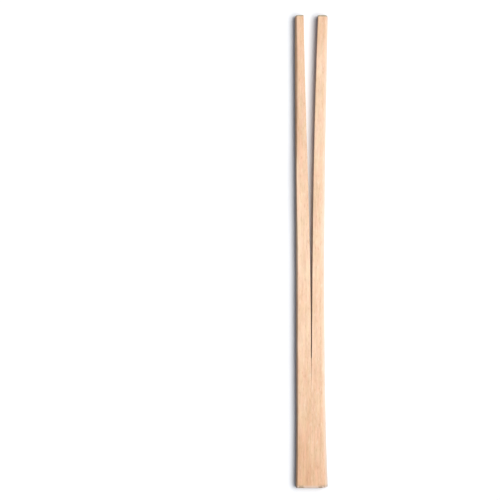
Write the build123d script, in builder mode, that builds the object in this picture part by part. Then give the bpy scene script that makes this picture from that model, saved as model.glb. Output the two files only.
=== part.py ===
# Pair of disposable wooden chopsticks, still joined at the butt and partly prised apart.
# One flat blank of pale wood is tapered, bevelled, sawn along its length from the tips, and
# split a little further by a crack, so two bent sticks share one butt.
# Millimetres. It lies flat on Z = 0, with X across the pair and Y from the butt to the tips.
# Its outline is drawn from the slit line (X = 0) and the butt end (Y = 0), and then placed
# so that the origin lies under the middle of the outline's box.

import os

from build123d import *

# Blank
length = 203.0
thickness = 4.8
left_bevel = 0.9
right_bevel = 1.2
wall_band = 0.8
edge_round = 0.3

# Butt, measured from the slit line to either side
butt_left = 6.8
butt_right = 7.15
worn_from = 3.0
worn_depth = 0.45

# Stations along the length, from the butt
neck_at = 20.0
kerf_foot_at = 56.0
waist_at = 100.0
shoulder_at = 150.0

# Slit: the saw kerf, and the crack that runs on from its foot and closes to nothing
kerf_width = 0.38
crack_width = 0.17
crack_length = 17.0

# Left stick: its half of the neck, then its own width up to the tip
left_neck_width = 6.52
left_root_width = 6.35
left_waist_width = 6.07
left_shoulder_width = 5.05
left_tip_width = 3.9

# Right stick, the same way
right_neck_width = 6.5
right_root_width = 5.65
right_waist_width = 5.19
right_shoulder_width = 4.95
right_tip_width = 4.4

# How far each stick has bent away from the slit line
left_waist_spread = 0.58
left_shoulder_spread = 1.9
left_tip_spread = 3.25
right_waist_spread = 0.5
right_shoulder_spread = 1.25
right_tip_spread = 2.8


def edge_points(side, offsets):
    """Points up one side of the slit line, one offset for each station."""
    return [(side * offset, station) for offset, station in offsets]


half_kerf = kerf_width / 2
half_crack = crack_width / 2
left_inner = edge_points(-1, [
    (half_kerf, kerf_foot_at),
    (left_waist_spread, waist_at),
    (left_shoulder_spread, shoulder_at),
    (left_tip_spread, length),
])
right_inner = edge_points(1, [
    (half_kerf, kerf_foot_at),
    (right_waist_spread, waist_at),
    (right_shoulder_spread, shoulder_at),
    (right_tip_spread, length),
])
left_outer = edge_points(-1, [
    (butt_left, 0),
    (left_neck_width, neck_at),
    (half_kerf + left_root_width, kerf_foot_at),
    (left_waist_spread + left_waist_width, waist_at),
    (left_shoulder_spread + left_shoulder_width, shoulder_at),
    (left_tip_spread + left_tip_width, length),
])
right_outer = edge_points(1, [
    (butt_right, worn_depth),
    (right_neck_width, neck_at),
    (half_kerf + right_root_width, kerf_foot_at),
    (right_waist_spread + right_waist_width, waist_at),
    (right_shoulder_spread + right_shoulder_width, shoulder_at),
    (right_tip_spread + right_tip_width, length),
])

# Blank: both long edges are smooth curves, the tips are cut square, and the butt's right
# corner is worn back
with BuildSketch() as blank:
    with BuildLine():
        Spline(*left_outer)
        Line(left_outer[-1], right_outer[-1])
        Spline(*right_outer)
        worn = TangentArc((worn_from, 0), right_outer[0], tangent=(1, 0))
        Line(left_outer[0], worn @ 0)
    make_face()

# Slit: the gap between the parted sticks, the kerf and the crack in one outline. It runs
# past the tips, so that it opens cleanly there.
with BuildSketch() as slit:
    with BuildLine():
        Spline(*left_inner)
        Spline(*right_inner)
        Polyline(
            left_inner[0],
            (-half_crack, kerf_foot_at),
            (0, kerf_foot_at - crack_length),
            (half_crack, kerf_foot_at),
            right_inner[0],
        )
        Polyline(
            left_inner[-1],
            (-left_tip_spread, length + thickness),
            (right_tip_spread, length + thickness),
            right_inner[-1],
        )
    make_face()

middle = blank.sketch.bounding_box().center()
underside = Plane((-middle.X, -middle.Y, 0))

with BuildPart(underside) as chopstick_pair:
    add(blank.sketch)
    extrude(amount=thickness)

    # The planed blank's long edges are bevelled steeply on both faces before it is sawn, which
    # leaves an upright band along the middle of each side wall
    bevel_down = (thickness - wall_band) / 2
    for side, bevel in ((0, left_bevel), (-1, right_bevel)):
        for level in (0, -1):
            broad_face = chopstick_pair.faces().filter_by(Axis.Z).sort_by(Axis.Z)[level]
            long_edge = broad_face.edges().filter_by(GeomType.BSPLINE).sort_by(Axis.X)[side]
            chamfer(long_edge, bevel, bevel_down, reference=broad_face)

    add(slit.sketch)
    extrude(amount=thickness, mode=Mode.SUBTRACT)

    # Tumbling eases the sawn edges of the sticks, their tips and the cut end of the butt
    flat_faces = chopstick_pair.faces().filter_by(Axis.Z)
    curved_edges = flat_faces.edges().filter_by(GeomType.BSPLINE)
    sawn_edges = curved_edges.sort_by(lambda edge: abs(edge.center().X + middle.X))[:4]
    tip_faces = chopstick_pair.faces().filter_by(Axis.Y).group_by(Axis.Y)[-1]
    fillet(sawn_edges + tip_faces.edges(), radius=edge_round)

    butt_edges = chopstick_pair.faces().sort_by(Axis.Y)[:2].edges().group_by(Axis.Z)
    fillet(butt_edges[0] + butt_edges[-1], radius=edge_round)

chopstick_pair.part.label = "chopstick_pair"
os.makedirs("parts", exist_ok=True)
export_step(chopstick_pair.part, "parts/chopstick_pair.step")
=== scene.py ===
import math

import bmesh
import bpy
import numpy as np
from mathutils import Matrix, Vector


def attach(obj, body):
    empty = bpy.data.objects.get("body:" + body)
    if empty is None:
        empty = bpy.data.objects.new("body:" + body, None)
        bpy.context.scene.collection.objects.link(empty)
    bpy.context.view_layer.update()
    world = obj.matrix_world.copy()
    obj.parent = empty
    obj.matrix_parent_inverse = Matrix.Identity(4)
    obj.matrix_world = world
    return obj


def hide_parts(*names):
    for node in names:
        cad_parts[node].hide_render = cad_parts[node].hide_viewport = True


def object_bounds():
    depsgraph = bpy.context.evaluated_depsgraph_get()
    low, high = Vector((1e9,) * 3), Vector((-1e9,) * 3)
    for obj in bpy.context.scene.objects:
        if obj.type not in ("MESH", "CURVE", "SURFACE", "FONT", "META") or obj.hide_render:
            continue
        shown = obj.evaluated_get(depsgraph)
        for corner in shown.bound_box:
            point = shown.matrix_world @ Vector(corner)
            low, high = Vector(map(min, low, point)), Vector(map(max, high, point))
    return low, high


bl_info = {
    "name": "Half-split Wooden Chopsticks",
    "version": (1, 0, 0),
    "blender": (4, 5, 0),
    "location": "View3D > Sidebar > Chopsticks",
    "description": "Dresses a half-split pair of chopsticks in planed, sawn and torn wood",
    "category": "Object",
}

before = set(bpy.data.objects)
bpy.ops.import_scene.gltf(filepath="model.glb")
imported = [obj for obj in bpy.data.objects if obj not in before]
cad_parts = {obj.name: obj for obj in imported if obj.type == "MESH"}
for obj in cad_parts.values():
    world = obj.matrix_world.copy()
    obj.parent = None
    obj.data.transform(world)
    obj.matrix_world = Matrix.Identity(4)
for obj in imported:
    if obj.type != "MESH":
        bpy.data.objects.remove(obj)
CAD_LOW, CAD_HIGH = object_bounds()

MM = 0.001
NODE = "chopstick_pair"
BODY = "root"
PIECE = "split_wood"
# Attributes that tell the wood's material how far each point is sawn, cut or darker, where
# painted shade or a painted highlight lies on it, and where its dark spots are
MARKS = ("sawn_wall", "cut_end", "end_line", "planed_side", "darkening_and_shade", "rim_shade_band", "butt_spots")

# Points of the mesh closer than this are one point
SAME_POINT = 0.001 * MM
# The long walls: how far from the slit line the two kinds lie, how straight they run, how far
# from the tips their rounded corners start, and how far apart two of their points are
INNER_WALL_FROM = 0.1 * MM
OUTER_WALL_FROM = 4.5 * MM
STRAIGHT_SLOPE = 0.1
CORNER_FROM = 0.28 * MM
POINT_STEP = 0.3 * MM


# Sizes and colours


class WoodShape(bpy.types.PropertyGroup):
    """Sizes of the wood that the outline of the solid does not give."""

    kerf_foot: bpy.props.FloatProperty(
        name="Kerf foot", description="Distance from the butt to the end of the saw cut",
        default=56.0 * MM, unit="LENGTH")
    crack_length: bpy.props.FloatProperty(
        name="Crack length", description="How far the crack runs on from the saw cut",
        default=17.0 * MM, unit="LENGTH")
    crack_width: bpy.props.FloatProperty(
        name="Crack width", description="Width of the crack where it leaves the saw cut",
        default=0.17 * MM, unit="LENGTH")
    crack_wander: bpy.props.FloatProperty(
        name="Crack wander", description="How far the crack strays as it follows the grain",
        default=0.1 * MM, unit="LENGTH")
    bevel_down: bpy.props.FloatProperty(
        name="Bevel down", description="Height of the planed bevels on the side walls",
        default=1.3 * MM, unit="LENGTH")
    edge_stations: bpy.props.FloatVectorProperty(
        name="Edge stations", description="Distances from the butt where the edges are sized",
        size=8, unit="LENGTH",
        default=[d * MM for d in (0, 44, 72, 100, 134, 152, 182, 203)])
    left_bevel: bpy.props.FloatVectorProperty(
        name="Left bevel", description="Width of the left planed bevels at the edge stations",
        size=8, unit="LENGTH",
        default=[b * MM for b in (0.86, 0.72, 0.80, 0.86, 0.48, 0.90, 1.14, 0.96)])
    right_bevel: bpy.props.FloatVectorProperty(
        name="Right bevel", description="Width of the right planed bevels at the edge stations",
        size=8, unit="LENGTH",
        default=[b * MM for b in (1.7, 1.7, 1.8, 1.8, 1.8, 1.7, 1.5, 1.4)])
    sawn_edge: bpy.props.FloatVectorProperty(
        name="Sawn edge", description="Ease of the sawn edges at the edge stations",
        size=8, unit="LENGTH",
        default=[e * MM for e in (0.12, 0.12, 0.13, 0.15, 0.17, 0.2, 0.27, 0.32)])
    butt_round: bpy.props.FloatProperty(
        name="Butt round", description="Radius round the cut end of the butt",
        default=0.45 * MM, unit="LENGTH")
    tip_round: bpy.props.FloatProperty(
        name="Tip round", description="Radius round the cut ends of the tips",
        default=0.42 * MM, unit="LENGTH")
    left_planed: bpy.props.FloatProperty(
        name="Left planed away", description="How far the left side wall is planed back",
        default=0.08 * MM, unit="LENGTH")
    tip_corner: bpy.props.FloatProperty(
        name="Tip corner", description="Radius of the tips' outer corners, seen from above",
        default=1.1 * MM, unit="LENGTH")
    worn_from: bpy.props.FloatProperty(
        name="Worn corner start", description="Distance from the slit line to where wear starts",
        default=3.0 * MM, unit="LENGTH")
    worn_depth: bpy.props.FloatProperty(
        name="Worn corner depth", description="How far the butt's right corner is worn back",
        default=0.45 * MM, unit="LENGTH")
    end_line: bpy.props.FloatProperty(
        name="End line", description="How far the olive line reaches in from the cut ends",
        default=0.6 * MM, unit="LENGTH")
    right_end_line: bpy.props.FloatProperty(
        name="Right end line", description="How much further the line reaches on the right tip",
        default=1.5)
    # Painted shade: a dull band along the butt's rounded end rim, which turns away from the light
    rim_shade_band: bpy.props.FloatProperty(
        name="Rim shade", description="Length of the dull rubbed band at the end of the butt",
        default=1.3 * MM, unit="LENGTH")
    # How far the dark spots reach up from the butt's end
    spot_reach: bpy.props.FloatProperty(
        name="Spot reach", description="How far the dirt reaches up from the butt's end",
        default=1.15 * MM, unit="LENGTH")
    # How much the darkening tint darkens each stick at the edge stations, most towards the butt
    # and the tips
    left_darkening: bpy.props.FloatVectorProperty(
        name="Left darkening", description="How dark handling has made the left stick",
        size=8, default=(1.0, 0.4, 0.15, 0.0, 0.04, 0.46, 0.5, 0.46))
    right_darkening: bpy.props.FloatVectorProperty(
        name="Right darkening", description="How dark handling has made the right stick",
        size=8, default=(0.75, 0.15, 0.0, 0.0, 0.0, 0.1, 0.2, 0.4))
    fibre_relief: bpy.props.FloatProperty(
        name="Fibre relief", description="Depth of the fibres on the planed faces",
        default=0.03 * MM, unit="LENGTH")
    torn_relief: bpy.props.FloatProperty(
        name="Torn relief", description="Depth of the torn fibres on the sawn walls",
        default=0.07 * MM, unit="LENGTH")
    station_step: bpy.props.FloatProperty(
        name="Station step", description="Spacing of the sections along the sticks",
        default=0.48 * MM, unit="LENGTH")


class WoodLook(bpy.types.PropertyGroup):
    """Colours and finish of the wood, with its painted shade and painted highlight."""

    pale: bpy.props.FloatVectorProperty(
        name="Pale wood", description="Colour of the cleanest wood", subtype="COLOR", size=3,
        default=(0.835, 0.605, 0.425))
    warm: bpy.props.FloatVectorProperty(
        name="Warm wood", description="Colour of the warmer clouds in the wood", subtype="COLOR",
        size=3, default=(0.785, 0.53, 0.355))
    pinker: bpy.props.FloatVectorProperty(
        name="Pinker patches", description="Tint of the pinker patches", subtype="COLOR", size=3,
        default=(1.025, 0.98, 0.99))
    yellower: bpy.props.FloatVectorProperty(
        name="Yellower patches", description="Tint of the yellower patches", subtype="COLOR",
        size=3, default=(0.985, 1.003, 0.955))
    growth_band: bpy.props.FloatVectorProperty(
        name="Growth bands", description="Tint of the wide growth bands", subtype="COLOR", size=3,
        default=(0.80, 0.70, 0.60))
    fleck: bpy.props.FloatVectorProperty(
        name="Flecks", description="Tint of the short darker flecks", subtype="COLOR", size=3,
        default=(0.80, 0.70, 0.60))
    pale_fleck: bpy.props.FloatVectorProperty(
        name="Pale flecks", description="Colour of the short paler flecks", subtype="COLOR",
        size=3, default=(0.90, 0.75, 0.60))
    pore: bpy.props.FloatVectorProperty(
        name="Pores", description="Tint of the fine pores", subtype="COLOR", size=3,
        default=(0.72, 0.58, 0.46))
    # The darkening tint: it makes each stick darker towards the butt and the tips, and as painted
    # shade it darkens the left stick's planed side wall, which faces away from the light
    darkening_and_shade: bpy.props.FloatVectorProperty(
        name="Darkening and shade", description="Tint that handling gives the wood",
        subtype="COLOR", size=3, default=(0.82, 0.71, 0.62))
    # Colour of the painted shade along the butt's rounded end rim
    rim_shade: bpy.props.FloatVectorProperty(
        name="Rim shade", description="Colour of the dull band at the end of the butt",
        subtype="COLOR", size=3, default=(0.60, 0.52, 0.46))
    # Tint of the dark spots near the butt's end
    spot_tint: bpy.props.FloatVectorProperty(
        name="Spot tint", description="Tint of the dirt at the butt's corners", subtype="COLOR",
        size=3, default=(0.50, 0.46, 0.36))
    # Painted highlight: the right stick's right planed side faces the light, and this greyer,
    # paler colour stands in for its washed-out look
    side: bpy.props.FloatVectorProperty(
        name="Planed side", description="Colour of the right stick's greyer planed side",
        subtype="COLOR", size=3, default=(0.74, 0.64, 0.56))
    # Bluer tint of the painted highlight on the right planed side, as strong as the darkening
    # there
    lit_side_tint: bpy.props.FloatVectorProperty(
        name="Lit side tint", description="Tint that handling gives the right planed side",
        subtype="COLOR", size=3, default=(0.70, 0.79, 0.90))
    # The sawn walls' dull grey: partly their own colour, partly painted shade that darkens the gap
    # between the sticks
    sawn: bpy.props.FloatVectorProperty(
        name="Sawn walls", description="Tint of the sawn and torn walls", subtype="COLOR", size=3,
        default=(0.58, 0.57, 0.58))
    saw_marks: bpy.props.FloatVectorProperty(
        name="Saw marks", description="Tint of the paler marks that the saw left on the walls",
        subtype="COLOR", size=3, default=(0.70, 0.67, 0.66))
    cut_end: bpy.props.FloatVectorProperty(
        name="End grain", description="Tint of the cut ends", subtype="COLOR", size=3,
        default=(0.66, 0.58, 0.49))
    end_pore: bpy.props.FloatVectorProperty(
        name="End pores", description="Tint of the open pores in the cut ends", subtype="COLOR",
        size=3, default=(0.46, 0.38, 0.30))
    end_line: bpy.props.FloatVectorProperty(
        name="End line", description="Tint of the olive line round the cut ends",
        subtype="COLOR", size=3, default=(0.50, 0.66, 0.66))
    roughness: bpy.props.FloatProperty(
        name="Roughness", description="Roughness of the planed faces", default=0.62, min=0.0,
        max=1.0, subtype="FACTOR")


class StageLook(bpy.types.PropertyGroup):
    """Floor, light and camera."""

    floor_colour: bpy.props.FloatVectorProperty(
        name="Floor colour", description="Colour of the floor", subtype="COLOR", size=3,
        default=(0.87, 0.87, 0.87))
    floor_size: bpy.props.FloatProperty(
        name="Floor size", description="Radius of the floor", default=4.0, unit="LENGTH")
    light_strength: bpy.props.FloatProperty(
        name="Light strength", description="Strength of the soft main light", default=3.6)
    light_softness: bpy.props.FloatProperty(
        name="Light softness", description="How wide the main light looks from the object",
        default=math.radians(40.0), subtype="ANGLE")
    light_lean: bpy.props.FloatVectorProperty(
        name="Light direction", description="Direction in which the main light lies", size=3,
        default=(0.45, 0.03, 1.0), subtype="DIRECTION")
    light_length: bpy.props.FloatProperty(
        name="Light length", description="How far apart the main light's two halves look",
        default=math.radians(22.0), subtype="ANGLE")
    backdrop: bpy.props.FloatVectorProperty(
        name="Backdrop", description="Colour of the backdrop that the camera sees past the floor",
        subtype="COLOR", size=3, default=(1.0, 1.0, 1.0))
    overhead: bpy.props.FloatVectorProperty(
        name="Overhead", description="Light from the dim room overhead", subtype="COLOR", size=3,
        default=(0.185, 0.205, 0.25))
    bounce_lit: bpy.props.FloatVectorProperty(
        name="Lit bounce", description="Light from low down, on the side of the main light",
        subtype="COLOR", size=3, default=(1.3, 1.3, 1.3))
    bounce_shaded: bpy.props.FloatVectorProperty(
        name="Shaded bounce", description="Light from low down, on the shaded side",
        subtype="COLOR", size=3, default=(0.08, 0.085, 0.09))
    camera_height: bpy.props.FloatProperty(
        name="Camera height", description="Height of the camera over the wood's top",
        default=1.0, unit="LENGTH")
    picture_width: bpy.props.FloatProperty(
        name="Picture width", description="Width that the picture covers at the wood's top",
        default=214.45 * MM, unit="LENGTH")
    picture_centre: bpy.props.FloatVectorProperty(
        name="Picture centre", description="Point that the camera stands over", size=2,
        default=(-26.33 * MM, 0.675 * MM), subtype="XYZ")


# Outline of the solid


def wall_points():
    """Points (x, y) where the solid's upright walls pass mid-thickness.

    An edge of the solid's mesh that stands upright lies on the true outline. So each edge with
    both ends at one place in plan, one above mid-thickness and one below, gives a point."""
    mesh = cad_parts[NODE].data
    corners = np.empty(3 * len(mesh.vertices), np.float32)
    mesh.vertices.foreach_get("co", corners)
    corners = corners.reshape(-1, 3).astype(float)
    ends = np.empty(2 * len(mesh.edges), np.int32)
    mesh.edges.foreach_get("vertices", ends)
    start, end = corners[ends[0::2]], corners[ends[1::2]]
    upright = np.linalg.norm((start - end)[:, :2], axis=1) < SAME_POINT
    middle = (CAD_LOW.z + CAD_HIGH.z) / 2
    through = (start[:, 2] - middle) * (end[:, 2] - middle) < 0
    return start[upright & through][:, :2]


def long_wall(points):
    """One long wall's points in order along it, as (y, x), without the rounded corners.

    Of points side by side the outermost stays, if the wall runs nearly straight along the
    stick on one side of it."""
    points = points[points[:, 1] < CAD_HIGH.y - CORNER_FROM]
    level = np.round(points[:, 1] / POINT_STEP)
    x, y = points[np.lexsort((-np.abs(points[:, 0]), level))].T
    first = np.insert(np.diff(np.sort(level)) > 0, 0, True)
    x, y = x[first], y[first]
    straight = np.abs(np.diff(x)) < STRAIGHT_SLOPE * np.diff(y)
    kept = np.append(straight, False) | np.insert(straight, 0, False)
    return y[kept], x[kept]


def follow(wall, y):
    """x of a long wall at each y, on the natural cubic spline through the wall's points.

    Its bends at the points come from the smoothness of its slope, as a set of linear equations.
    Past the last point the wall goes straight on."""
    known_y, known_x = wall
    gap, slope = np.diff(known_y), np.diff(known_x) / np.diff(known_y)
    equations = np.diag(2 * (gap[:-1] + gap[1:])) + np.diag(gap[1:-1], 1) + np.diag(gap[1:-1], -1)
    bend = np.concatenate([[0], np.linalg.solve(equations, 6 * np.diff(slope)), [0]])
    i = np.clip(np.searchsorted(known_y, y) - 1, 0, len(gap) - 1)
    inside = np.clip(y, known_y[0], known_y[-1])
    after = (inside - known_y[i]) / gap[i]
    before = 1 - after
    chord = before * known_x[i] + after * known_x[i + 1]
    bow = (before**3 - before) * bend[i] + (after**3 - after) * bend[i + 1]
    leaving = np.array([slope[0] - gap[0] * bend[1] / 6, slope[-1] + gap[-1] * bend[-2] / 6])
    beyond = (y - inside) * np.where(y < inside, *leaving)
    return chord + bow * gap[i]**2 / 6 + beyond


# Smooth and random numbers


def ease(t):
    """0 to 1 with a level start and end: three t squared less two t cubed."""
    t = np.clip(t, 0.0, 1.0)
    return t * t * (3 - 2 * t)


def fading(distance, reach, hold=1.0):
    """1 at a place, easing off to 0 at a reach from it.

    The ease of the hold less the hold times the share of the reach. A hold over 1 keeps it at 1
    over the first part of the reach."""
    return ease(hold - hold * distance / reach)


def unevenness(along, cell, seed):
    """Smooth random numbers from -1 to 1 along a line, from seeded knots one cell apart."""
    count = 1024
    knots = np.random.default_rng(seed).uniform(-1, 1, count)
    i = np.floor(along / cell).astype(int)
    t = ease(along / cell - i)
    return knots[i % count] * (1 - t) + knots[(i + 1) % count] * t


def fibres(across, along, cell_across, cell_along, seed):
    """Smooth random heights from 0 to 1, drawn out along the grain.

    Seeded heights stand on a lattice, and each point eases between the four round it."""
    size = 257
    heights = np.random.default_rng(seed).random((size, size))
    u, v = across / cell_across, along / cell_along
    i, j = np.floor(u).astype(int), np.floor(v).astype(int)
    s, t = ease(u - i), ease(v - j)
    i, j, i2, j2 = i % size, j % size, (i + 1) % size, (j + 1) % size
    near = heights[i, j] * (1 - s) + heights[i2, j] * s
    far = heights[i, j2] * (1 - s) + heights[i2, j2] * s
    return near * (1 - t) + far * t


def layered(across, along, layers, seed=0):
    """Sum of layers of fibres, each given as its share, its cells across and along, and a seed."""
    heights = 0.0
    for share, cell_across, cell_along, own_seed in layers:
        heights = heights + share * fibres(across, along, cell_across, cell_along, seed + own_seed)
    return heights


# Sections of one stick

# Steps round each corner and along the flat runs of the broad faces and of the side walls, then
# from corner to corner on each, all the way round, and in the rounding of a cut end
CORNER_STEPS = 10
BROAD_STEPS = 16
WALL_STEPS = 5
BROAD = CORNER_STEPS + BROAD_STEPS
WALL = CORNER_STEPS + WALL_STEPS
ROUND = 2 * (BROAD + WALL)
END_STEPS = 8
# Fullness of an edge: 0 is a flat cut, and 0.71 is a quarter round
LEFT_FULLNESS = 0.2
RIGHT_FULLNESS = 0.6
SAWN_FULLNESS = 0.71


def corner(lead_in, lead_on, fullness, sharp):
    """Distances from a corner, back along the side that leads in and out along the next.

    A conic between the two sides: t squared and (1 - t) squared, each divided by their sum and
    twice the fullness times t times (1 - t). It leaves both sides smoothly, and with little
    fullness it keeps near the flat bevel between them. Where sharp is 1, the points run up to
    the corner and away from it instead."""
    t = np.linspace(0, 1, CORNER_STEPS + 1)
    total = (1 - t)**2 + 2 * fullness * t * (1 - t) + t**2
    back, out = (1 - t)**2 / total, t**2 / total
    back = back + sharp * (np.maximum(1 - 2 * t, 0) - back)
    out = out + sharp * (np.maximum(2 * t - 1, 0) - out)
    return back * lead_in, out * lead_on


def run(start, end, steps):
    """Points strictly between the last of one row and the first of the next, evenly spaced."""
    t = np.linspace(0, 1, steps + 1)[1:-1]
    return start[:, -1:] + (end[:, :1] - start[:, -1:]) * t


def section_loops(side, inner, outer, low, high, sawn_ease, bevel, fullness, sharp):
    """Closed loops round one stick, one row for each section, as (x, z).

    Four corners joined by straight runs. A loop starts at the middle of the inner top corner
    and goes over the top, down the outer wall, back along the bottom and up the inner wall.
    The bevel is given as its reach across and its reach down."""
    across, down = bevel
    rise, shelf = corner(sawn_ease, sawn_ease, SAWN_FULLNESS, sharp)
    brow, fall = corner(across, down, fullness, 0)
    foot_fall, foot = corner(down, across, fullness, 0)
    sole, sole_rise = corner(sawn_ease, sawn_ease, SAWN_FULLNESS, sharp)
    xs = [inner + side * shelf, outer - side * brow, outer - side * foot, inner + side * sole]
    zs = [high - rise, high - fall, low + foot_fall, low + sole_rise]
    steps = [BROAD_STEPS, WALL_STEPS, BROAD_STEPS, WALL_STEPS]

    def joined(rows):
        parts = [
            np.concatenate([rows[i], run(rows[i], rows[(i + 1) % 4], steps[i])], axis=1)
            for i in range(4)
        ]
        return np.roll(np.concatenate(parts, axis=1), -(CORNER_STEPS // 2), axis=1)

    return joined(xs), joined(zs)


def end_patch(loop):
    """Grid of points (x, z) that fills a loop, from its four sides.

    Each point blends the top with the bottom and the inner wall with the outer, less the blend
    of the four corners that both of these count."""
    top = loop[:BROAD + 1]
    out = loop[BROAD:BROAD + WALL + 1]
    bottom = loop[BROAD + WALL:2 * BROAD + WALL + 1][::-1]
    slit = np.concatenate([loop[2 * BROAD + WALL:], loop[:1]])[::-1]
    u = np.linspace(0, 1, BROAD + 1)[:, None, None]
    v = np.linspace(0, 1, WALL + 1)[None, :, None]
    across = (1 - v) * top[:, None] + v * bottom[:, None]
    down = (1 - u) * slit[None] + u * out[None]
    corners = (
        (1 - u) * ((1 - v) * top[0] + v * bottom[0]) + u * ((1 - v) * top[-1] + v * bottom[-1])
    )
    return across + down - corners, u[..., 0], v[..., 0]


def grid_faces(first, rows, columns, closed):
    """Quads between neighbouring rows and columns of a grid, whose columns may close up."""
    r = np.arange(rows - 1)[:, None]
    c = np.arange(columns if closed else columns - 1)[None, :]
    after = (c + 1) % columns
    quads = np.stack([
        r * columns + c, r * columns + after, (r + 1) * columns + after, (r + 1) * columns + c,
    ], axis=-1)
    return quads + first


# The wood

# Half the step from the last section of the crack to the first one of the kerf
LEDGE = 0.02 * MM
# How far apart the crack's turns are, their seed, and the shares of its width that open evenly
# and with the square of the way along it
CRACK_TURNS = 2.6 * MM
CRACK_SEED = 11
CRACK_EVENLY, CRACK_SQUARED = 0.35, 0.65
# How much a bevel wavers, slowly and quickly, and over what lengths, what share of an end's
# rounding it loses, and the least that is left of it
SLOW_WAVER, SLOW_LENGTH = 0.05, 9 * MM
QUICK_WAVER, QUICK_LENGTH = 0.03, 2.3 * MM
BEVEL_LOSS = 0.4
LEAST_BEVEL = 0.05 * MM
# Layers of fibres: the share of each, its cells across and along, and its seed, to which the
# stick's own seed is added on the walls
PLANED_FIBRES = ((0.6, 0.32 * MM, 9 * MM, 5), (0.4, 1.9 * MM, 22 * MM, 6))
TORN_FIBRES = ((0.7, 0.45 * MM, 3.2 * MM, 8), (0.3, 0.2 * MM, 0.9 * MM, 9))
SIDE_FIBRES = ((1.0, 0.6 * MM, 14 * MM, 10),)
END_FIBRES = ((0.6, 0.3 * MM, 0.3 * MM, 2), (0.4, 1.1 * MM, 0.8 * MM, 3))
LEFT_SEED, RIGHT_SEED = 20, 40
# How far off the underside's fibres are taken, how much deeper those of the side walls are, and
# over what length the torn ones rise above the kerf's foot
UNDERSIDE_SHIFT = 70 * MM
SIDE_DEPTH = 2
TORN_RISE = 4 * MM
# Depth of the end grain behind its rim, and how steeply it sinks in, down and across the end
END_DEPTH = 0.09 * MM
SINK_DOWN, SINK_ACROSS = 6, 9
# Marks: the holds of their fades, how much painted shade darkens the left stick's planed side
# wall, how strong the end line is at the butt, and how far off the slit line the dark spots start
# and come in
MARK_HOLD, RIM_SHADE_HOLD = 1.6, 2
LEFT_SIDE_SHADE = 0.5
BUTT_LINE = 0.1
SPOTS_FROM, SPOTS_RISE = 2.6 * MM, 0.8 * MM
# How far up the stick the worn corner fades out
WEAR_FADE = 9 * MM


def stations(shape):
    """y of each section from the butt to the tips, and the number of the crack's first.

    Even steps along each stretch, which meet the ends of the crack exactly. Round the ends
    they close up as equal turns of a quarter circle do."""
    low, high = CAD_LOW.y, CAD_HIGH.y
    foot = low + shape.kerf_foot
    root = foot - shape.crack_length
    turned = 1 - np.cos(np.linspace(0, math.pi / 2, END_STEPS + 1))[:-1]

    def stretch(start, end):
        return np.linspace(start, end, max(2, round((end - start) / shape.station_step)) + 1)

    joined = stretch(low + shape.butt_round, root)[:-1]
    cracked = stretch(root, foot - LEDGE)
    sawn = stretch(foot + LEDGE, high - shape.tip_corner)
    butt, tip = low + shape.butt_round * turned, high - shape.tip_corner * turned[::-1]
    return np.concatenate([butt, joined, cracked, sawn, tip]), len(butt) + len(joined)


def end_roll(gap, radius):
    """How far a surface has turned in at a gap from an end, on a quarter circle.

    The radius less the other leg of a right triangle, whose long side is the radius and whose
    first leg is the radius less the gap."""
    leg = np.maximum(radius - gap, 0)
    return radius - np.sqrt(radius**2 - leg**2)


def at_stations(shape, y, reaches):
    """A size that eases from each edge station's value to the next one's."""
    known = CAD_LOW.y + np.array(shape.edge_stations)
    i = np.clip(np.searchsorted(known, y) - 1, 0, len(known) - 2)
    t = ease((y - known[i]) / (known[i + 1] - known[i]))
    reaches = np.array(reaches)
    return reaches[i] * (1 - t) + reaches[i + 1] * t


def slit_walls(shape, y, wall):
    """x of a stick's inner wall: shut in the butt, then the crack, then the kerf and gap.

    The crack opens faster and faster from nothing, by a share of the way t along it and a share
    of t squared. It strays from side to side by a sine of half a turn times unevenness."""
    foot = CAD_LOW.y + shape.kerf_foot
    t = np.clip((y - foot) / shape.crack_length + 1, 0, 1)
    stray = shape.crack_wander * np.sin(math.pi * t) * unevenness(y, CRACK_TURNS, CRACK_SEED)
    side = np.sign(wall[1][-1])
    opening = CRACK_EVENLY * t + CRACK_SQUARED * t**2
    crack = stray + side * shape.crack_width / 2 * opening
    return np.where(y > foot, follow(wall, y), crack)


def column(values):
    """One number for each section, stood up to go with the points round it."""
    return np.asarray(values, float)[:, None]


def wavering(y, reach, turned_in, seed):
    """A bevel's reach at each section.

    The reach times 1 plus a slow and a quick unevenness, less a share of the end's rounding."""
    slow = SLOW_WAVER * unevenness(y, SLOW_LENGTH, seed)
    quick = QUICK_WAVER * unevenness(y, QUICK_LENGTH, seed + 1)
    waver = 1 + slow + quick
    return column(np.maximum(reach * waver - BEVEL_LOSS * turned_in, LEAST_BEVEL))


def smooth_sections(shape, side, seed, y, parted, inner, outer):
    """Loops (x, z) of one stick's sections before its fibres are raised.

    They turn in on quarter circles round the cut ends. Each has its planed bevels on the outer
    wall and eased edges at the slit, or sharp ones where the stick is still one with the other."""
    butt_roll = end_roll(y - CAD_LOW.y, shape.butt_round)
    tip_roll = end_roll(CAD_HIGH.y - y, shape.tip_round)
    inset = butt_roll + tip_roll
    outer_inset = butt_roll + end_roll(CAD_HIGH.y - y, shape.tip_corner)
    planed = at_stations(shape, y, shape.right_bevel if side > 0 else shape.left_bevel)
    sawn = at_stations(shape, y, shape.sawn_edge)
    return section_loops(
        side,
        column(inner + side * tip_roll),
        column(outer - side * outer_inset),
        column(CAD_LOW.z + inset),
        column(CAD_HIGH.z - inset),
        np.where(column(parted), wavering(y, sawn, inset, seed + 4), 2 * shape.sawn_edge[0]),
        (wavering(y, planed, outer_inset, seed), wavering(y, shape.bevel_down, inset, seed + 2)),
        RIGHT_FULLNESS if side > 0 else LEFT_FULLNESS,
        column(np.where(parted, 0.0, 1.0)),
    )


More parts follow.
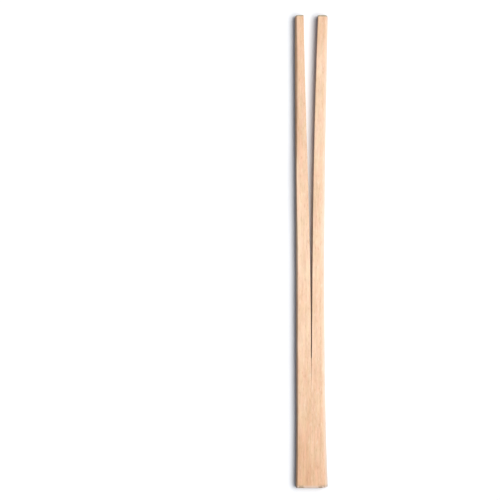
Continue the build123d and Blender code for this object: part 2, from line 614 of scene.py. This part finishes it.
def raised_fibres(shape, side, seed, y, width, across, x, z):
    """The loops (x, z) cut back between the fibres of the faces and the torn ones of the saw cut.

    A point moves in by seeded heights times a depth and times how far out it lies. Up and down,
    that runs from -1 at the underside to 1 at the top. Across, it is the cube of the share of
    the stick's width, from the other wall."""
    along = np.broadcast_to(column(y), x.shape)
    half = (CAD_HIGH.z - CAD_LOW.z) / 2
    lift = (z - CAD_LOW.z) / half - 1
    shift = np.where(lift > 0, 0.0, UNDERSIDE_SHIFT)
    z = z - shape.fibre_relief * layered(across + shift, along, PLANED_FIBRES) * lift
    outwards = np.clip(np.abs(across) / column(width), 0, 1)
    torn = layered(z, along, TORN_FIBRES, seed)
    sawn = column(ease((y - (CAD_LOW.y + shape.kerf_foot)) / TORN_RISE))
    x = x + side * shape.torn_relief * torn * (1 - outwards)**3 * sawn
    planed = layered(z, along, SIDE_FIBRES, seed)
    return x - side * shape.fibre_relief * SIDE_DEPTH * planed * outwards**3, z


def section_marks(shape, side, y, parted, across, darkening):
    """The marks that the sections' points carry, which tell the wood's material where it is.

    Round a section, the two walls' marks ease off towards the corners. Along the stick, marks
    ease off from the ends. The dark spots fall off as a bell curve up the stick, and ease in from
    the slit line. Painted shade lies on the left planed side wall and the butt's rim, and a
    painted highlight on the right planed side."""
    k = np.arange(ROUND)
    from_sawn_wall = np.abs(k - (2 * BROAD + 1.5 * WALL))
    on_sawn_wall = fading(from_sawn_wall, 0.5 * WALL, MARK_HOLD)
    from_planed_side = np.abs(k - BROAD - WALL / 2) - WALL / 2
    on_planed_side = ease(0.5 - from_planed_side / CORNER_STEPS)
    from_butt, from_tip = column(y - CAD_LOW.y), column(CAD_HIGH.y - y)
    tip_reach = shape.end_line * (shape.right_end_line if side > 0 else 1.0)
    tip_line = fading(from_tip, tip_reach, MARK_HOLD)
    butt_line = BUTT_LINE * fading(from_butt, shape.end_line)
    off_slit = ease((np.abs(across) - SPOTS_FROM) / SPOTS_RISE)
    marks = {
        "sawn_wall": np.where(column(parted), on_sawn_wall, 0.0),
        "cut_end": 0.0,
        "end_line": tip_line + butt_line,
        # Painted highlight on the right stick's planed side wall, which faces the light
        "planed_side": on_planed_side * (side > 0),
        # Darker towards the butt and tips, plus painted shade on the left stick's planed side
        # wall, which faces away from the light
        "darkening_and_shade": column(darkening) + LEFT_SIDE_SHADE * on_planed_side * (side < 0),
        # Painted shade along the butt's rounded end rim
        "rim_shade_band": fading(from_butt, shape.rim_shade_band, RIM_SHADE_HOLD),
        # Dark spots: off the slit line, falling off up the stick from the butt's end
        "butt_spots": off_slit * np.exp(-(from_butt / shape.spot_reach)**2),
    }
    return np.stack([np.broadcast_to(marks[label], across.shape) for label in MARKS], axis=-1)


def cut_end(loop, y, inwards, parted):
    """Grid of points that closes the loop of a cut end, with end grain behind its rim.

    The loop's patch, sunk by seeded heights times a depth that eases in from the rim. Where the
    sticks are still one, the slit's side is no rim."""
    patch, u, v = end_patch(loop)
    rough = layered(patch[..., 0], patch[..., 1], END_FIBRES)
    off_rim = ease(SINK_DOWN * v) * ease(SINK_DOWN * (1 - v)) * ease(SINK_ACROSS * (1 - u))
    if parted:
        off_rim = off_rim * ease(SINK_ACROSS * u)
    depth = y + inwards * END_DEPTH * rough * off_rim
    return np.stack([patch[..., 0], depth, patch[..., 1]], axis=-1)


def wood_half(shape, side, walls):
    """Points, faces, places in the grain and marks of one stick with its half of the butt.

    The sections follow the solid's walls. A point's place in the grain is measured from the
    slit's wall, so that the grain bends with the stick."""
    inner_wall, outer_wall = walls
    seed = RIGHT_SEED if side > 0 else LEFT_SEED
    y, root = stations(shape)
    parted = np.arange(len(y)) > root
    inner = slit_walls(shape, y, inner_wall)
    outer = np.clip(follow(outer_wall, y), CAD_LOW.x, CAD_HIGH.x)
    if side < 0:
        outer = outer + shape.left_planed
    x, z = smooth_sections(shape, side, seed, y, parted, inner, outer)
    across = x - column(inner)
    x, z = raised_fibres(shape, side, seed, y, np.abs(outer - inner), across, x, z)
    along = np.broadcast_to(column(y), x.shape)
    darkening = at_stations(shape, y, shape.right_darkening if side > 0 else shape.left_darkening)
    points = [np.stack([x, along, z], axis=-1).reshape(-1, 3)]
    places = [np.stack([across, along, z], axis=-1).reshape(-1, 3)]
    marks = [section_marks(shape, side, y, parted, across, darkening).reshape(-1, len(MARKS))]

    # Inside the butt the two sticks are one, and no wall stands between them
    quads = grid_faces(0, len(y), ROUND, closed=True)
    off_slit = np.arange(ROUND)[None, :] < 2 * BROAD + WALL
    faces = [quads[(np.arange(len(y) - 1)[:, None] >= root) | off_slit]]

    for row, inwards in ((0, 1), (len(y) - 1, -1)):
        ring = cut_end(np.stack([x[row], z[row]], axis=-1), y[row], inwards, parted[row])
        first = sum(len(group) for group in points)
        points.append(ring.reshape(-1, 3))
        places.append((ring - np.array([inner[row], 0, 0])).reshape(-1, 3))
        ring_marks = np.zeros((ring[..., 0].size, len(MARKS)))
        ring_marks[:, MARKS.index("cut_end")] = 1
        ring_marks[:, MARKS.index("darkening_and_shade")] = darkening[row]
        marks.append(ring_marks)
        faces.append(grid_faces(first, BROAD + 1, WALL + 1, closed=False).reshape(-1, 4))
    return [np.concatenate(group) for group in (points, faces, places, marks)]


def wear_butt(shape, points):
    """The butt's right corner worn back: a parabola across, which fades out up the stick."""
    reach = CAD_HIGH.x - shape.worn_from
    across = np.clip((points[:, 0] - shape.worn_from) / reach, 0, 1)
    fade = fading(points[:, 1] - CAD_LOW.y, WEAR_FADE)
    worn = points.copy()
    worn[:, 1] += shape.worn_depth * across**2 * fade
    return worn


def mesh_piece(name, points, faces, marks):
    """Closed mesh object from arrays. Shared points are merged, and every face points outwards."""
    mesh = bpy.data.meshes.new(name)
    mesh.from_pydata(points.tolist(), [], faces.tolist())
    for label, values in marks.items():
        kind = "FLOAT_VECTOR" if values.ndim == 2 else "FLOAT"
        store = mesh.attributes.new(label, kind, "POINT")
        store.data.foreach_set("vector" if values.ndim == 2 else "value", values.ravel())
    work = bmesh.new()
    work.from_mesh(mesh)
    bmesh.ops.remove_doubles(work, verts=work.verts, dist=SAME_POINT)
    bmesh.ops.recalc_face_normals(work, faces=work.faces)
    if any(not edge.is_manifold for edge in work.edges):
        raise RuntimeError(f"{name} is not a closed surface")
    work.to_mesh(mesh)
    work.free()
    mesh.shade_smooth()
    made = bpy.data.objects.new(name, mesh)
    bpy.context.scene.collection.objects.link(made)
    return made


# Materials


def put(tree, kind, feeds=None, **settings):
    """New node with its settings, whose inputs are linked from sockets or set to values."""
    made = tree.nodes.new(kind)
    for key, value in settings.items():
        setattr(made, key, value)
    for key, value in (feeds or {}).items():
        if isinstance(value, bpy.types.NodeSocket):
            tree.links.new(value, made.inputs[key])
        else:
            made.inputs[key].default_value = value
    return made


def calc(tree, operation, first, second, clamp=False):
    """Result of a sum on two numbers."""
    return put(tree, "ShaderNodeMath", {0: first, 1: second}, operation=operation,
               use_clamp=clamp).outputs[0]


def times(tree, first, second):
    """Product of two numbers."""
    return calc(tree, "MULTIPLY", first, second)


def rgba(colour):
    """A colour as a node takes it, with an alpha of 1."""
    return (*colour, 1.0)


def blend(tree, amount, first, second, way="MIX"):
    """Colour between two, or the second laid over the first in the given way."""
    made = put(tree, "ShaderNodeMix", {0: amount, 6: first, 7: second}, data_type="RGBA",
               blend_type=way)
    return made.outputs[2]


def tint(tree, amount, colour, shade):
    """A colour multiplied by a shade, as far as the amount says."""
    shade = shade if isinstance(shade, bpy.types.NodeSocket) else rgba(shade)
    return blend(tree, amount, colour, shade, "MULTIPLY")


def spread(tree, value, low, high, to_low=0.0, to_high=1.0):
    """A number carried smoothly from one range to another, and held at its ends."""
    return put(tree, "ShaderNodeMapRange",
               {"Value": value, "From Min": low, "From Max": high, "To Min": to_low,
                "To Max": to_high}, interpolation_type="SMOOTHSTEP").outputs[0]


def streaks(tree, place, cells, detail=3.0, roughness=0.55, distortion=0.0, offset=(0, 0, 0)):
    """Noise from 0 to 1 whose cells have the given sizes across, along and down, in mm."""
    scale = tuple(1 / MM / cell for cell in cells)
    mapped = put(tree, "ShaderNodeMapping", {"Vector": place, "Scale": scale, "Location": offset})
    noise = put(tree, "ShaderNodeTexNoise",
                {"Vector": mapped.outputs[0], "Scale": 1.0, "Detail": detail,
                 "Roughness": roughness, "Distortion": distortion})
    return noise.outputs["Fac"]


# How much of each layer of the wood's colour shows
BAND_AMOUNT = 0.22
FLECK_AMOUNT, PALE_FLECK_AMOUNT = 0.5, 0.35
PORE_AMOUNT = 0.35
# How much the painted shade along the butt's end rim shows
RIM_SHADE_AMOUNT = 0.55
# How much the painted highlight covers the right planed side
LIT_SIDE_AMOUNT = 0.75
# Tone of the fibres: what they all have, and what broad and fine ones add to it
FIBRE_TONE, BROAD_TONE, FINE_TONE = 0.68, 0.42, 0.22
# How far the growth rings' heart lies to one side and below, in mm, and how the grain leans
HEART = (13.0, 0.0, 26.0)
GRAIN_LEAN = (0.012, 0.0, 0.018)
# Heights of the relief, as shares of its depth
BROAD_HEIGHT, FINE_HEIGHT, PORE_DEPTH = 0.5, 0.6, 0.5
SAW_HEIGHT, END_PORE_DEPTH = 2.5, 2.0
RELIEF_DEPTH, RELIEF_STRENGTH = 0.04 * MM, 0.8
# Roughness that the plane takes away, and that fine fibres and the saw add
SMOOTHER, FIBRE_ROUGHNESS, SAWN_ROUGHNESS = 0.08, 0.16, 0.15


def grain_colour(tree, look, place, broad_fibre, fine_fibre, pore):
    """Colour of clean planed wood, with clouds, growth bands, fibres, flecks and pores."""
    # Clouds of paler and warmer wood, and a mottle of pinker and yellower patches
    clouds = streaks(tree, place, (5.0, 20, 7), detail=3)
    colour = blend(tree, spread(tree, clouds, 0.34, 0.66), rgba(look.pale), rgba(look.warm))
    mottle = streaks(tree, place, (1.9, 7.5, 2.5), detail=2, offset=(9, 4, 2))
    patches = spread(tree, mottle, 0.32, 0.68)
    hue = blend(tree, patches, rgba(look.pinker), rgba(look.yellower))
    colour = tint(tree, 1.0, colour, hue)

    # Growth bands: rings round a heart that lies below and to one side
    leaning = put(tree, "ShaderNodeMapping",
                  {"Vector": place, "Location": HEART, "Rotation": GRAIN_LEAN,
                   "Scale": (1 / MM, 1 / MM, 1 / MM)})
    rings = put(tree, "ShaderNodeTexWave",
                {"Vector": leaning.outputs[0], "Scale": 0.24, "Distortion": 1.6, "Detail": 2.0,
                 "Detail Scale": 0.12}, wave_type="RINGS", rings_direction="Y",
                wave_profile="SAW").outputs["Fac"]
    colour = tint(tree, spread(tree, rings, 0.45, 1.0, 0.0, BAND_AMOUNT), colour, look.growth_band)

    # Fibres, broad and fine
    tone = calc(tree, "ADD", times(tree, broad_fibre, BROAD_TONE),
                times(tree, fine_fibre, FINE_TONE))
    tone = calc(tree, "ADD", tone, FIBRE_TONE)
    fibre_tint = put(tree, "ShaderNodeCombineColor", {0: tone, 1: tone, 2: tone}).outputs[0]
    colour = tint(tree, 1.0, colour, fibre_tint)

    # Short soft flecks, darker and paler, and fine pores
    flecks = streaks(tree, place, (0.6, 2.6, 0.7), detail=2, offset=(31, 7, 3))
    colour = tint(tree, spread(tree, flecks, 0.56, 0.72, 0.0, FLECK_AMOUNT), colour, look.fleck)
    pale = spread(tree, flecks, 0.44, 0.28, 0.0, PALE_FLECK_AMOUNT)
    colour = blend(tree, pale, colour, rgba(look.pale_fleck))
    return tint(tree, times(tree, pore, PORE_AMOUNT), colour, look.pore)


def colour_with_marks_and_painted_light(tree, look, place, marks, colour, saw_marks, end_pores):
    """The clean wood's colour with darkening, dark spots, painted shade and a painted highlight,
    and the walls' and cut ends' own colours on it.
    """
    # Darker towards the butt and tips, with painted shade on the left planed side wall. Painted
    # shade makes a dull band along the butt's rounded end rim, and dark spots lie near the butt's
    # end
    colour = tint(tree, marks["darkening_and_shade"], colour, look.darkening_and_shade)
    rim_shade = times(tree, marks["rim_shade_band"], RIM_SHADE_AMOUNT)
    colour = blend(tree, rim_shade, colour, rgba(look.rim_shade))
    spot_noise = streaks(tree, place, (1.3, 0.9, 1.3), detail=2, offset=(2, 8, 5))
    spots = times(tree, spread(tree, spot_noise, 0.38, 0.55), marks["butt_spots"])
    colour = tint(tree, spots, colour, look.spot_tint)

    # Painted highlight: the right planed side, which faces the light, is greyer and paler. The
    # sawn walls are duller, partly their own colour and partly painted shade for the gap between
    # the sticks
    greyer = times(tree, marks["planed_side"], LIT_SIDE_AMOUNT)
    colour = blend(tree, greyer, colour, rgba(look.side))
    greyer_lit_side = times(tree, marks["darkening_and_shade"], marks["planed_side"])
    colour = tint(tree, greyer_lit_side, colour, look.lit_side_tint)
    # Partly painted shade: the duller grey darkens the gap between the sticks
    marked = spread(tree, saw_marks, 0.35, 0.7)
    saw_tint = blend(tree, marked, rgba(look.sawn), rgba(look.saw_marks))
    colour = tint(tree, marks["sawn_wall"], colour, saw_tint)

    # The cut ends are tan end grain with open pores, and an olive line runs round them
    open_pores = spread(tree, end_pores, 0.5, 0.68)
    end_tint = blend(tree, open_pores, rgba(look.cut_end), rgba(look.end_pore))
    colour = tint(tree, marks["cut_end"], colour, end_tint)
    return tint(tree, marks["end_line"], colour, look.end_line)


def planed_wood(look):
    """Pale straight-grained wood with fibres, flecks, pores, saw marks, spots and painted light.

    The pattern follows each stick through the attribute that holds its place in the grain, and
    the marks say where the wood is planed, sawn, cut, darker or spotted, and where shade or a
    highlight is painted on it."""
    material = bpy.data.materials.new("planed_pale_wood")
    material.use_nodes = True
    tree = material.node_tree
    tree.nodes.clear()
    place = put(tree, "ShaderNodeAttribute", attribute_name="grain_place").outputs["Vector"]
    marks = {
        label: put(tree, "ShaderNodeAttribute", attribute_name=label).outputs["Fac"]
        for label in MARKS
    }
    broad_fibre = streaks(tree, place, (0.7, 9, 0.9), detail=4, roughness=0.6)
    fine_fibre = streaks(tree, place, (0.22, 3.0, 0.25), detail=3, roughness=0.6)
    pores = streaks(tree, place, (0.16, 1.6, 0.16), detail=1, offset=(5, 17, 11))
    pore = spread(tree, pores, 0.64, 0.76)
    saw_marks = streaks(tree, place, (6.0, 0.55, 3.0), detail=2, distortion=0.4)
    end_pores = streaks(tree, place, (0.14, 0.5, 0.14), detail=2, offset=(3, 3, 9))
    colour = grain_colour(tree, look, place, broad_fibre, fine_fibre, pore)
    colour = colour_with_marks_and_painted_light(tree, look, place, marks, colour, saw_marks, end_pores)

    # Relief: fibres and saw marks stand up, and fine pores and the cut ends' pores sink in
    height = calc(tree, "ADD", times(tree, broad_fibre, BROAD_HEIGHT),
                  times(tree, fine_fibre, FINE_HEIGHT))
    height = calc(tree, "SUBTRACT", height, times(tree, pore, PORE_DEPTH))
    sawn_marks = times(tree, saw_marks, marks["sawn_wall"])
    height = calc(tree, "ADD", height, times(tree, sawn_marks, SAW_HEIGHT))
    cut_pores = times(tree, end_pores, marks["cut_end"])
    height = calc(tree, "SUBTRACT", height, times(tree, cut_pores, END_PORE_DEPTH))
    bump = put(tree, "ShaderNodeBump",
               {"Strength": RELIEF_STRENGTH, "Distance": RELIEF_DEPTH, "Height": height})

    rough = calc(tree, "ADD", look.roughness - SMOOTHER, times(tree, fine_fibre, FIBRE_ROUGHNESS))
    rough = calc(tree, "ADD", rough, times(tree, marks["sawn_wall"], SAWN_ROUGHNESS), clamp=True)
    shader = put(tree, "ShaderNodeBsdfPrincipled",
                 {"Base Color": colour, "Roughness": rough, "Normal": bump.outputs[0],
                  "IOR": 1.45, "Specular IOR Level": 0.3})
    out = put(tree, "ShaderNodeOutputMaterial")
    tree.links.new(shader.outputs[0], out.inputs[0])
    return material


# How dark the hollows of the floor's tooth are, against its colour
FLOOR_HOLLOWS = 0.985


def floor_paper(look):
    """Pale seamless paper, with a faint tooth."""
    material = bpy.data.materials.new("floor_paper")
    material.use_nodes = True
    tree = material.node_tree
    tree.nodes.clear()
    coordinates = put(tree, "ShaderNodeTexCoord").outputs["Object"]
    tooth = streaks(tree, coordinates, (1.5, 1.5, 1.5), detail=2)
    hollows = tuple(FLOOR_HOLLOWS * channel for channel in look.floor_colour)
    colour = blend(tree, tooth, rgba(hollows), rgba(look.floor_colour))
    shader = put(tree, "ShaderNodeBsdfDiffuse", {"Color": colour})
    out = put(tree, "ShaderNodeOutputMaterial")
    tree.links.new(shader.outputs[0], out.inputs[0])
    return material


# Operators

# Corners of the round floor
FLOOR_SIDES = 64
# Width of the camera's sensor in mm
SENSOR = 36.0
# How far to each side the lit and the shaded bounce ease into each other, and how far up they
# ease into the room overhead, as the direction's X and Z
BOUNCE_SPREAD = 0.5
HORIZON_SPREAD = 0.12


class CHOPSTICKS_OT_wood(bpy.types.Operator):
    """Cut the half-split pair from the outline of the solid and give it its wood"""

    bl_idname = "chopsticks.wood"
    bl_label = "Split Wood"

    def execute(self, context):
        shape, look = context.scene.wood_shape, context.scene.wood_look
        known = wall_points()
        reach = np.abs(known[:, 0])
        past_foot = known[:, 1] > CAD_LOW.y + shape.kerf_foot - SAME_POINT
        far_out = reach > OUTER_WALL_FROM
        slit = (reach > INNER_WALL_FROM) & (reach < OUTER_WALL_FROM) & past_foot
        halves = []
        for side in (-1, 1):
            here = np.sign(known[:, 0]) == side
            walls = long_wall(known[here & slit]), long_wall(known[here & far_out])
            halves.append(wood_half(shape, side, walls))
        points, faces, places, marks = zip(*halves)
        corners = wear_butt(shape, np.concatenate(points))
        faces = np.concatenate([faces[0], faces[1] + len(points[0])])
        places, marks = np.concatenate(places), np.concatenate(marks)
        used = np.unique(faces)
        renumbered = np.searchsorted(used, faces)
        stored = {label: marks[used, i] for i, label in enumerate(MARKS)}
        stored["grain_place"] = places[used]
        wood = mesh_piece(PIECE, corners[used], renumbered, stored)
        wood.data.materials.append(planed_wood(look))
        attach(wood, BODY)
        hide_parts(NODE)
        return {"FINISHED"}


class CHOPSTICKS_OT_stage(bpy.types.Operator):
    """Lay the pale floor, hang the soft light and set the camera overhead"""

    bl_idname = "chopsticks.stage"
    bl_label = "Stage"

    def execute(self, context):
        look = context.scene.stage_look
        mesh = bpy.data.meshes.new("floor")
        turn = np.linspace(0, 2 * math.pi, FLOOR_SIDES + 1)[:-1]
        rim = look.floor_size * np.stack([np.cos(turn), np.sin(turn), 0 * turn], axis=-1)
        mesh.from_pydata(rim.tolist(), [], [list(range(FLOOR_SIDES))])
        mesh.materials.append(floor_paper(look))
        floor = bpy.data.objects.new("floor", mesh)
        # What the floor throws back onto the wood is set by the room's light from low down
        floor.visible_diffuse = False
        context.scene.collection.objects.link(floor)

        # The main light is longer along the sticks than across, so it is hung in two halves
        lamp = bpy.data.lights.new("soft_light", "SUN")
        lamp.energy = look.light_strength / 2
        lamp.angle = look.light_softness
        for name, end in (("soft_light_butt", -1), ("soft_light_tips", 1)):
            lean = Vector(look.light_lean)
            lean.y += end * math.tan(look.light_length / 2)
            hung = bpy.data.objects.new(name, lamp)
            hung.rotation_mode = "QUATERNION"
            hung.rotation_quaternion = lean.to_track_quat("Z", "Y")
            context.scene.collection.objects.link(hung)

        world = bpy.data.worlds.new("studio_room")
        world.use_nodes = True
        tree = world.node_tree
        tree.nodes.clear()
        direction = put(tree, "ShaderNodeTexCoord").outputs["Generated"]
        parts = put(tree, "ShaderNodeSeparateXYZ", {0: direction})
        sunward = spread(tree, parts.outputs["X"], -BOUNCE_SPREAD, BOUNCE_SPREAD)
        bounce = blend(tree, sunward, rgba(look.bounce_shaded), rgba(look.bounce_lit))
        above = spread(tree, parts.outputs["Z"], 0.0, HORIZON_SPREAD)
        room = blend(tree, above, bounce, rgba(look.overhead))
        seen = put(tree, "ShaderNodeLightPath").outputs["Is Camera Ray"]
        colour = blend(tree, seen, room, rgba(look.backdrop))
        background = put(tree, "ShaderNodeBackground", {"Color": colour})
        out = put(tree, "ShaderNodeOutputWorld")
        tree.links.new(background.outputs[0], out.inputs[0])
        context.scene.world = world
        context.scene.view_settings.view_transform = "Standard"

        camera = bpy.data.cameras.new("overhead_camera")
        camera.sensor_width = SENSOR
        camera.lens = SENSOR * look.camera_height / look.picture_width
        camera.clip_start, camera.clip_end = 0.01, 20.0
        eye = bpy.data.objects.new("overhead_camera", camera)
        eye.location = (*look.picture_centre, CAD_HIGH.z + look.camera_height)
        context.scene.collection.objects.link(eye)
        context.scene.camera = eye
        return {"FINISHED"}


class CHOPSTICKS_PT_panel(bpy.types.Panel):
    """The pieces and their sizes and colours"""

    bl_label = "Chopsticks"
    bl_idname = "CHOPSTICKS_PT_panel"
    bl_space_type = "VIEW_3D"
    bl_region_type = "UI"
    bl_category = "Chopsticks"

    def draw(self, context):
        layout = self.layout
        for operator in OPERATORS:
            layout.operator(operator.bl_idname)
        for name in GROUPS:
            group = getattr(context.scene, name)
            box = layout.box()
            for key in group.bl_rna.properties.keys():
                if key not in {"rna_type", "name"}:
                    box.prop(group, key)


OPERATORS = (CHOPSTICKS_OT_wood, CHOPSTICKS_OT_stage)
GROUPS = {"wood_shape": WoodShape, "wood_look": WoodLook, "stage_look": StageLook}


def register():
    for group in GROUPS.values():
        bpy.utils.register_class(group)
    for name, group in GROUPS.items():
        setattr(bpy.types.Scene, name, bpy.props.PointerProperty(type=group))
    for operator in OPERATORS:
        bpy.utils.register_class(operator)
    bpy.utils.register_class(CHOPSTICKS_PT_panel)


def unregister():
    bpy.utils.unregister_class(CHOPSTICKS_PT_panel)
    for operator in reversed(OPERATORS):
        bpy.utils.unregister_class(operator)
    for name in GROUPS:
        delattr(bpy.types.Scene, name)
    for group in reversed(GROUPS.values()):
        bpy.utils.unregister_class(group)


def main():
    register()
    bpy.ops.chopsticks.wood()
    bpy.ops.chopsticks.stage()


if __name__ == "__main__":
    main()
